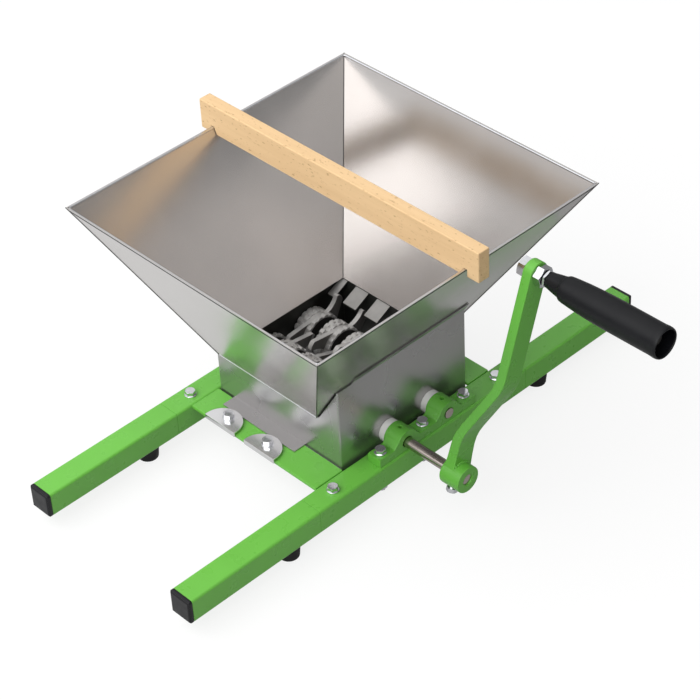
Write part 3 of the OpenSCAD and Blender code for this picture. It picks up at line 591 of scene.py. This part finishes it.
# %% Widths
eased_widths = {
    0.5: ["rail_left", "rail_right", "leg_front_left", "leg_front_right", "leg_rear_left",
          "leg_rear_right", "leg_end_caps", "rubber_feet"],
    0.7: ["cross_plate_front", "cross_plate_rear", "bearing_block_left", "bearing_block_right"],
    0.2: ["hopper_front", "hopper_rear", "hopper_left", "hopper_right", "housing_left",
          "drive_shaft", "driven_shaft"],
    0.35: ["nylon_bushes"],
    0.6: ["lip_clamps"],
    0.15: ["drive_discs", "drive_knives", "driven_discs", "driven_knives", "comb_front",
           "comb_rear"],
}
one_segment_below = 0.18
print("widths:", len(eased_widths))


# %% Paint shade on the inward faces
box_middle = (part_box("housing_front")[0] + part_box("housing_rear")[1]) / 2
upright_limit, inward_share = 0.5, 0.7


# Inward faces of a box plate get the near-black painted shade.
def paint_inside_shade(piece):
    piece.data.materials.append(inside_shade_steel.material)
    for face in piece.data.polygons:
        inward = box_middle - face.center
        inward.z = 0.0
        reach = inward_share * max(abs(inward.x), abs(inward.y))
        if abs(face.normal.z) < upright_limit and face.normal.dot(inward) > reach:
            face.material_index = 1


print("middle of the box in mm:", [round(v / MM, 1) for v in box_middle])

# %% Ease them
for width, names in eased_widths.items():
    for name in names:
        piece = merged_copy(name)
        ease(piece, width, 1 if width < one_segment_below else 2)
        settle(piece, name + "_eased", name)
        if name.startswith("housing"):
            paint_inside_shade(piece)
print("eased solids:", sum(len(names) for names in eased_widths.values()))

# %% [markdown]
# ## Folds in the box
# The right plate of the box is folded round the front corner, and the front and rear plates are
# folded out into a lip. A fold is round, and shows as one long soft highlight. Only the edges of a
# fold are picked, by their place, and get a wide bevel before the rest of the plate is eased.


# %% Round a fold
def fold(node, wanted, radius):
    piece = merged_copy(node)
    print(node, "fold edges:", pick_edges(piece, lambda a, b: wanted(a) and wanted(b)))
    edit_edges(piece)
    bpy.ops.mesh.bevel(offset=radius * MM, segments=5, affect="EDGES")
    leave_edges()
    ease(piece, 0.15, 2, 50.0)
    settle(piece, node + "_eased", node)
    paint_inside_shade(piece)


def near(value, target):
    return abs(value - target) < 0.05 * MM


sheet = 1.2 * MM
corner_r, lip_r = 1.05, 4.5
plate_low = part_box("housing_right")[0]
lip_z = max(v.co.z for v in nodes["housing_front"].data.vertices
            if v.co.y < plate_low.y - 5 * MM)
fold("housing_right", lambda p: near(p.x, plate_low.x + sheet) and near(p.y, plate_low.y), corner_r)
fold("housing_front", lambda p: near(p.z, lip_z) and near(p.y, plate_low.y), lip_r)
fold("housing_rear", lambda p: near(p.z, lip_z) and near(p.y, -plate_low.y), lip_r)

# %% [markdown]
# ## The hopper's rolled rim
# The sheet's top edge is rolled over so that it can't cut, and it shows as a thin bright line with
# rounded corners. The roll takes the brighter zinc rather than the sheet's own finish, so its line
# is partly a painted highlight. A plane of the rim's size loses its face, its corners are rounded,
# and the remaining outline becomes a curve with a round section, which turns back into a mesh. A
# second, finer and darker ring a little lower is the line where the rolled sheet meets the wall.

# %% How wide the hopper is at a height
hopper_points = [v.co for side in ("front", "rear", "left", "right")
                 for v in nodes["hopper_" + side].data.vertices]
throat_points = [p for p in hopper_points if p.z < throat_z + 1 * MM]


def extent(points, axis):
    values = [p[axis] for p in points]
    return min(values), max(values)


rim_top = extent(hopper_points, 2)[1]


def side_at(axis, drop, inset):
    share = drop * MM / (rim_top - throat_z)
    ends = zip(extent(hopper_points, axis), extent(throat_points, axis), (1, -1))
    return [rim + (throat - rim) * share + way * inset * MM for rim, throat, way in ends]


print("rim height in mm:", round(rim_top / MM, 2))

# %% Roll the rim
corner_round = 2.2


def ring(drop, inset, radius, name, finish=None):
    (left, right), (front, rear) = side_at(0, drop, inset), side_at(1, drop, inset)
    centre = ((left + right) / 2, (front + rear) / 2, rim_top - drop * MM)
    bpy.ops.object.select_all(action="DESELECT")
    bpy.ops.mesh.primitive_plane_add(size=1.0, location=centre)
    line = bpy.context.object
    line.scale = (right - left, rear - front, 1.0)
    bpy.ops.object.transform_apply(location=False, rotation=False, scale=True)
    edit(line)
    bpy.ops.mesh.bevel(offset=corner_round * MM, segments=4, affect="VERTICES")
    bpy.ops.mesh.select_all(action="SELECT")
    bpy.ops.mesh.delete(type="ONLY_FACE")
    leave_edit()
    bpy.ops.object.convert(target="CURVE")
    line.data.bevel_depth = radius * MM
    line.data.bevel_resolution = 3
    bpy.ops.object.convert(target="MESH")
    line = bpy.context.object
    settle(line, name, "hopper_front", finish, replaces=False, smooth=60.0)
    print(name, "points:", len(line.data.vertices))


rim_r, hem_drop, hem_r = 0.95, 2.5, 0.42
# The rolled rim takes the brighter zinc: partly a painted highlight on its round.
ring(rim_r, rim_r, rim_r, "hopper_rolled_rim", zinc)
ring(hem_drop, 0.0, hem_r, "hopper_hem_line", gear_steel)

# %% [markdown]
# ## A lathe
# Many small parts are turned. A disc is the start, and its face is pushed on and resized from one
# station to the next, as a lathe tool works along a bar. The stations are pairs of height and
# radius, and a station that goes back down makes a recess.


# %% Turn a part from stations
def turned(stations, sides=48):
    start, radius = stations[0]
    bpy.ops.object.select_all(action="DESELECT")
    bpy.ops.mesh.primitive_circle_add(vertices=sides, radius=radius * MM, fill_type="NGON",
                                      location=(0, 0, start * MM))
    piece = bpy.context.object
    bpy.ops.object.transform_apply(location=True, rotation=False, scale=False)
    edit(piece)
    for height, next_radius in stations[1:]:
        step = (0, 0, (height - start) * MM)
        bpy.ops.mesh.extrude_region_move(TRANSFORM_OT_translate={"value": step})
        share = next_radius / radius
        bpy.ops.transform.resize(value=(share, share, 1.0), center_override=(0, 0, height * MM))
        start, radius = height, next_radius
    bpy.ops.mesh.select_all(action="SELECT")
    bpy.ops.mesh.normals_make_consistent(inside=False)
    leave_edit()
    return piece


def place(piece, location, rotation):
    piece.rotation_euler = rotation
    piece.location = location
    only(piece)
    bpy.ops.object.transform_apply(location=True, rotation=True, scale=True)


def lay_along_x(piece, x, y, z):
    place(piece, (x, y, z), (0.0, math.radians(90.0), 0.0))


print("lathe ready")

# %% [markdown]
# ## Hexagons and threads
# A nut is cut from hexagon bar and its corners are turned off, which leaves curved chamfers. The
# overlap of a six-sided prism with a wide cone gives exactly those curves. A thread is a triangle
# wound up by the Screw modifier, round a core that fills its middle.


# %% Hexagon bar with turned corners
chamfer_share = 0.97


def hexagon(across_flats, low, high, chamfers=("top",)):
    corner_r = across_flats / math.sqrt(3.0)
    height, centre = (high - low) * MM, (0, 0, (high + low) / 2 * MM)
    bpy.ops.object.select_all(action="DESELECT")
    bpy.ops.mesh.primitive_cylinder_add(vertices=6, radius=corner_r * MM, depth=height,
                                        location=centre)
    bar = bpy.context.object
    reach = (high - low) * math.sqrt(3.0)
    for side in chamfers:
        face_r = across_flats / 2 * chamfer_share
        radii = (face_r + reach, face_r) if side == "top" else (face_r, face_r + reach)
        bpy.ops.mesh.primitive_cone_add(vertices=48, radius1=radii[0] * MM, radius2=radii[1] * MM,
                                        depth=height, location=centre)
        cone = bpy.context.object
        apply_modifier(bar, "BOOLEAN", operation="INTERSECT", solver="EXACT", object=cone)
        bpy.data.objects.remove(cone)
    return bar


print("hexagon ready")


# %% Threaded rod
ridge_share, start_share, core_share = 0.56, 0.6, 0.62
core_chamfer = 0.3


def thread(radius, pitch, low, high):
    windings = int((high - low) / pitch) - 1
    ridge_r = pitch * ridge_share
    bpy.ops.object.select_all(action="DESELECT")
    bpy.ops.mesh.primitive_circle_add(vertices=3, radius=ridge_r * MM, location=(0, 0, 0))
    ridge = bpy.context.object
    place(ridge, ((radius - ridge_r) * MM, 0, (low + pitch * start_share) * MM),
          (math.radians(90.0), math.radians(90.0), 0.0))
    apply_modifier(ridge, "SCREW", axis="Z", steps=20, render_steps=20, screw_offset=pitch * MM,
                   iterations=windings, use_merge_vertices=False)
    edit(ridge)
    bpy.ops.mesh.fill_holes(sides=3)
    bpy.ops.mesh.normals_make_consistent(inside=False)
    leave_edit()
    core_r = radius - pitch * core_share
    end_r = core_r - core_chamfer
    core = turned([(low, end_r), (low + core_chamfer, core_r), (high - core_chamfer, core_r),
                   (high, end_r)], 32)
    return join(core, ridge)


print("thread ready")

# %% [markdown]
# ## Bolts and nuts of the frame
# One bolt is modelled with its washer, head and the thread that stands out of the nut. Each place
# gets a copy with its own turn, because no two are tightened to the same angle. The turns come
# from a seeded generator, so every run gives the same bolts.


# %% One bolt, one nut
head_flats, head_low, head_top = 8.0, 1.0, 4.5
shank_r, thread_r, thread_pitch, thread_length = 2.4, 2.5, 0.8, 8.0
washer_stations = [(0.0, 4.85), (0.15, 5.0), (0.8, 5.0), (0.98, 4.8)]


def bolt(low):
    washer = turned(washer_stations, 40)
    head = hexagon(head_flats, head_low, head_top)
    shank = turned([(0.2, shank_r), (low + 6.4, shank_r)], 24)
    tail = thread(thread_r, thread_pitch, low, low + thread_length)
    return join(washer, head, shank, tail)


def nut(height):
    return hexagon(head_flats, 0.0, height, ("top", "low"))


print("bolt heads in mm across flats:", head_flats)

# %% Put copies in place
turns = random.Random(7)
washer_r = 5.0


def spaced(low, high, count):
    first, last = low + washer_r * MM, high - washer_r * MM
    return [first + (last - first) * i / max(1, count - 1) for i in range(count)]


def grid(node, across, along):
    low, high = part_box(node)
    return [(x, y) for x in spaced(low.x, high.x, across) for y in spaced(low.y, high.y, along)]


def copies(master, spots, z):
    placed = []
    for x, y in spots:
        only(master)
        bpy.ops.object.duplicate()
        copy = bpy.context.object
        place(copy, (x, y, z), (0.0, 0.0, turns.uniform(0.0, math.pi / 3)))
        placed.append(copy)
    bpy.data.objects.remove(master)
    return join(*placed)


def bolt_set(bolts, nuts, across, along):
    bolt_low, bolt_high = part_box(bolts)
    nut_low, nut_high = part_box(nuts)
    spots = grid(bolts, across, along)
    seat = bolt_high.z - head_top * MM
    one_bolt = bolt((bolt_low.z - seat) / MM)
    settle(copies(one_bolt, spots, seat), bolts + "_threaded", bolts)
    one_nut = nut((nut_high.z - nut_low.z) / MM)
    settle(copies(one_nut, spots, nut_low.z), nuts + "_chamfered", nuts)
    print(bolts, len(spots))


bolt_set("leg_bolts", "leg_nuts", 2, 2)
bolt_set("bearing_bolts", "bearing_nuts", 2, 3)
bolt_set("clamp_screws", "clamp_nuts", 2, 1)

# %% [markdown]
# ## The crank arm
# The arm is a flat bar, stepped sideways and welded to a turned hub. Its edges are eased more than
# those of the sheet metal, and a plain weld bead runs along the joint. The bead is a row of
# overlapping blobs, each squashed and turned a little, as a welder leaves them.

# %% Arm and bead
arm = merged_copy("crank_arm")
ease(arm, 0.8, 3, 40.0)
settle(arm, "crank_arm_eased", "crank_arm")
print("arm ready")

# %% One blob of the bead
shaft_middle = middle("drive_shaft")
lean = math.radians(18.4)
hub_r = 11.5
blob_count, blob_r, blob_step = 9, 1.9, 1.75
bead_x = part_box("drive_shaft")[1].x - 7.2 * MM


def blob_at(across):
    bpy.ops.object.select_all(action="DESELECT")
    bpy.ops.mesh.primitive_uv_sphere_add(segments=16, ring_count=10, radius=blob_r * MM)
    blob = bpy.context.object
    edit(blob)
    bpy.ops.transform.resize(value=(0.75, 1.0, 0.7), center_override=(0, 0, 0))
    leave_edit()
    up = math.sqrt((hub_r * MM) ** 2 - across ** 2)
    spot = (bead_x + turns.uniform(-0.2, 0.2) * MM,
            shaft_middle.y + across * math.cos(lean) + up * math.sin(lean),
            shaft_middle.z - across * math.sin(lean) + up * math.cos(lean))
    place(blob, spot, (-lean + turns.uniform(-0.3, 0.3), turns.uniform(-0.3, 0.3), 0.0))
    return blob


print("bead at x in mm:", round(bead_x / MM, 1))

# %% Lay the bead
blobs = [blob_at((i - blob_count // 2) * blob_step * MM) for i in range(blob_count)]
settle(join(*blobs), "crank_weld_bead", "crank_arm", replaces=False, smooth=70.0)
print("blobs in the bead:", blob_count)

# %% [markdown]
# ## The set screw
# A short hexagon screw clamps the hub to the shaft from below. It is made along Z like the frame
# bolts, and then leaned over with the crank.

# %% Set screw
set_flats, set_head_height = 8.0, 3.6
set_r, set_pitch, set_shank_r, set_length = 3.0, 1.0, 2.7, 9.0
set_head = hexagon(set_flats, -set_head_height, 0.0, ("low",))
set_shank = turned([(-0.2, set_shank_r), (3.5, set_shank_r)], 24)
set_thread = thread(set_r, set_pitch, 0.0, set_length)
set_screw = join(set_head, set_shank, set_thread)
reach = 15.0 * MM
set_screw.rotation_euler = (-lean, 0.0, 0.0)
set_screw.location = (middle("crank_set_screw").x, shaft_middle.y - reach * math.sin(lean),
                      shaft_middle.z - reach * math.cos(lean))
settle(set_screw, "crank_set_screw_threaded", "crank_set_screw")
print("set screw length in mm:", set_head_height + set_length)

# %% [markdown]
# ## Handle bolt, nuts and grip
# A long bolt carries the grip, two nuts lock it to the arm, and a thin collar stops the grip.
# Beyond the outer nut a few turns of thread show. The grip is turned from stations: a plain neck, a
# small step, a long swelling body with a lip at its end, and the deep recess that hides the
# bolt's head.

# %% Handle bolt
eye = middle("handle_bolt")
bolt_low, bolt_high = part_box("handle_bolt")
grip_low, grip_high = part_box("grip")
end = (bolt_high.x - bolt_low.x) / MM
bare = (grip_low.x - bolt_low.x) / MM
rod_r, handle_thread_r, handle_pitch, head_height = 3.6, 4.0, 1.25, 4.0
rod_part = turned([(bare - 6.0, rod_r), (end - head_height, rod_r)], 32)
head_part = turned([(end - head_height, 6.5), (end - 1.0, 6.6), (end - 0.2, 5.9),
                    (end, 5.0), (end - 1.2, 2.6)], 40)
lay_along_x(head_part, bolt_low.x, eye.y, eye.z)
settle(head_part, "handle_bolt_head", "handle_bolt", gear_steel, replaces=False)
handle_bolt = join(thread(handle_thread_r, handle_pitch, 0.0, bare + 1.0), rod_part)
lay_along_x(handle_bolt, bolt_low.x, eye.y, eye.z)
settle(handle_bolt, "handle_bolt_threaded", "handle_bolt")
print("handle bolt length in mm:", round(end, 1))

# %% Its nuts
nuts_low, nuts_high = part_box("handle_nuts")
nut_flats, nut_width, arm_width = 15.0, 7.2, 8.5
collar_flats, collar_width = 12.6, 2.2
inner_x = nuts_low.x / MM
outer_x = inner_x + nut_width + arm_width
collar_x = nuts_high.x / MM - collar_width
lock_nuts = []
for start, width, flats, spin in ((inner_x, nut_width, nut_flats, 12.0),
                                  (outer_x, nut_width, nut_flats, 41.0),
                                  (collar_x, collar_width, collar_flats, 20.0)):
    piece = hexagon(flats, 0.0, width, ("top", "low"))
    place(piece, piece.location.copy(), (0.0, 0.0, math.radians(spin)))
    lay_along_x(piece, start * MM, eye.y, eye.z)
    lock_nuts.append(piece)
settle(join(*lock_nuts), "handle_nuts_chamfered", "handle_nuts")
print("nuts on the handle bolt:", len(lock_nuts))

# %% Grip
grip_length = (grip_high.x - grip_low.x) / MM
grip_r = (grip_high.z - grip_low.z) / 2 / MM
neck_r, recess_r, recess_depth, bore_r = 6.4, 10.8, 12.0, 4.2
body_shares = [(0.06, 0.18), (0.12, 0.36), (0.135, 0.5), (0.145, 0.6), (0.17, 0.66),
               (0.23, 0.75), (0.31, 0.85), (0.42, 0.93), (0.55, 0.965), (0.75, 0.965),
               (0.93, 0.955), (0.95, 0.98), (0.965, 1.0), (0.985, 0.985), (0.996, 0.93),
               (1.0, 0.88)]
neck = [(0.0, 4.4), (0.0, neck_r - 0.8), (0.25, neck_r - 0.25), (0.8, neck_r)]
body = [(grip_length * z, neck_r + (grip_r - neck_r) * r) for z, r in body_shares]
recess = [(grip_length - 0.3, 11.2), (grip_length - 1.2, recess_r),
          (grip_length - recess_depth, recess_r), (grip_length - recess_depth, bore_r)]
grip = turned(neck + body + recess, 72)
lay_along_x(grip, grip_low.x, eye.y, eye.z)
settle(grip, "grip_turned", "grip", smooth=25.0)
print("grip length and radius in mm:", round(grip_length, 1), round(grip_r, 1))

# %% [markdown]
# ## The wooden bar
# The bar is planed beech with its edges broken by sandpaper, and two notches hold the rim. The copy
# of the drawn bar already has the notches, so only its edges need work, in three steps for a soft
# round.

# %% Bar
bar = merged_copy("wooden_bar")
ease(bar, 0.9, 3)
settle(bar, "wooden_bar_eased", "wooden_bar")
print("bar faces:", len(bar.data.polygons))

# %% [markdown]
# ## Floor
# The floor is pale and carries a soft shadow. To a camera ray it is close to plain white, and to
# all other light it is a darker floor, so that it doesn't throw too much light on to the machine
# from below. A metal sees it bright in front on the left and dark behind on the right, as in a
# room with a white wall on one side.

# %% Floor
bpy.ops.object.select_all(action="DESELECT")
bpy.ops.mesh.primitive_plane_add(size=30.0, location=(0, 0, ground))
floor = bpy.context.object
floor.name = "studio_floor"
print("floor at height", ground)

# %% Its colour and its glow
pale = Finish("pale_floor")
pale.set(Roughness=0.9)
path = pale.node("ShaderNodeLightPath")
lit_grey, far_side = (0.28, 0.28, 0.28), (0.72, 0.69, 0.0)
camera_glow, metal_glow = 0.82, 0.66
grain = pale.ramp(pale.noise(3.0), (0.0, (0.88, 0.88, 0.88)), (1.0, (0.92, 0.92, 0.92)))
pale.colour(pale.mix(path.outputs["Is Camera Ray"], lit_grey, grain))
across = pale.vector_math("DOT_PRODUCT", pale.coords, far_side, "Value")
side_level = pale.spread(across, metal_glow, 0.0, -0.25, 0.3)
seen_in_metal = pale.math("MULTIPLY", path.outputs["Is Glossy Ray"], side_level)
seen_by_camera = pale.math("MULTIPLY", path.outputs["Is Camera Ray"], camera_glow)
share = pale.math("MAXIMUM", seen_by_camera, seen_in_metal)
glow = pale.node("ShaderNodeEmission")
blend = pale.node("ShaderNodeMixShader")
pale.link(share, blend.inputs["Fac"])
pale.link(pale.shader.outputs["BSDF"], blend.inputs[1])
pale.link(glow.outputs["Emission"], blend.inputs[2])
pale.link(blend.outputs["Shader"], pale.tree.nodes["Material Output"].inputs["Surface"])
floor.data.materials.append(pale.material)
print("floor nodes:", len(pale.tree.nodes))

# %% [markdown]
# ## Sky
# Polished sheet shows whatever stands round it, so the sky decides how the hopper looks. It is an
# even grey with soft bright patches: a broad one overhead, a strong one in front on the right, and
# three weaker ones. A patch is the cosine of the angle from its middle, raised to a power.

# %% Sky
world = bpy.data.worlds.new("studio")
bpy.context.scene.world = world
world.use_nodes = True
sky = world.node_tree
background = sky.nodes["Background"]
way = sky.nodes.new("ShaderNodeTexCoord").outputs["Generated"]


def patch(direction, sharpness, strength):
    cosine = sky.nodes.new("ShaderNodeVectorMath")
    cosine.operation = "DOT_PRODUCT"
    sky.links.new(way, cosine.inputs[0])
    cosine.inputs[1].default_value = Vector(direction).normalized()
    in_front = math_node(sky, "MAXIMUM", cosine.outputs["Value"], 0.0)
    return math_node(sky, "MULTIPLY", math_node(sky, "POWER", in_front, sharpness), strength)


patches = [((-0.2, -0.2, 1.0), 4.0, 1.35), ((0.25, -0.80, 0.55), 9.0, 2.7),
           ((-0.60, -0.50, 0.45), 12.0, 0.9), ((0.85, -0.20, 0.50), 14.0, 0.35),
           ((-0.57, 0.52, 0.63), 20.0, 0.4)]
total = 0.27
for direction, sharpness, strength in patches:
    total = math_node(sky, "ADD", patch(direction, sharpness, strength), total)
sky.links.new(total, background.inputs["Strength"])
background.inputs["Color"].default_value = (1, 1, 1, 1)
print("bright patches:", len(patches))

# %% [markdown]
# ## Lamp
# One soft lamp stands above on the left, and gives the paint its shading. Metals don't show it,
# because a square lamp would leave a hard patch in the sheet.


# %% Softbox
def softbox(name, direction, distance, size, power):
    direction = Vector(direction).normalized()
    lamp = bpy.data.lights.new(name, "AREA")
    lamp.shape = "RECTANGLE"
    lamp.size, lamp.size_y = size
    lamp.energy = power
    made = bpy.data.objects.new(name, lamp)
    bpy.context.scene.collection.objects.link(made)
    made.location = machine_middle + direction * distance
    made.rotation_mode = "QUATERNION"
    made.rotation_quaternion = direction.to_track_quat("Z", "Y")
    made.visible_glossy = False
    return made


softbox("key_softbox", direction=(-0.45, -0.60, 0.75), distance=1.2, size=(0.8, 0.8), power=5.0)
print("lamps:", len(bpy.data.lights))

# %% [markdown]
# ## Camera
# The lens, the place and the two directions were worked out from straight edges of the machine in
# the photograph, so the render has the same angle.

# %% Camera
camera_data = bpy.data.cameras.new("camera")
camera_data.lens = 117.9
camera_data.sensor_width = 36.0
camera_data.clip_end = 100.0
camera = bpy.data.objects.new("camera", camera_data)
bpy.context.scene.collection.objects.link(camera)
right = Vector((0.697613, 0.715184, -0.042992))
up = Vector((-0.430529, 0.466403, 0.772731))
back = right.cross(up)
turn = Matrix((right, up, back)).transposed().to_4x4()
camera_place = (0.987209, -0.952388, 1.236392)
camera.matrix_world = Matrix.Translation(camera_place) @ turn
bpy.context.scene.camera = camera
bpy.context.scene.view_settings.view_transform = "Standard"
print("lens in mm:", camera_data.lens)
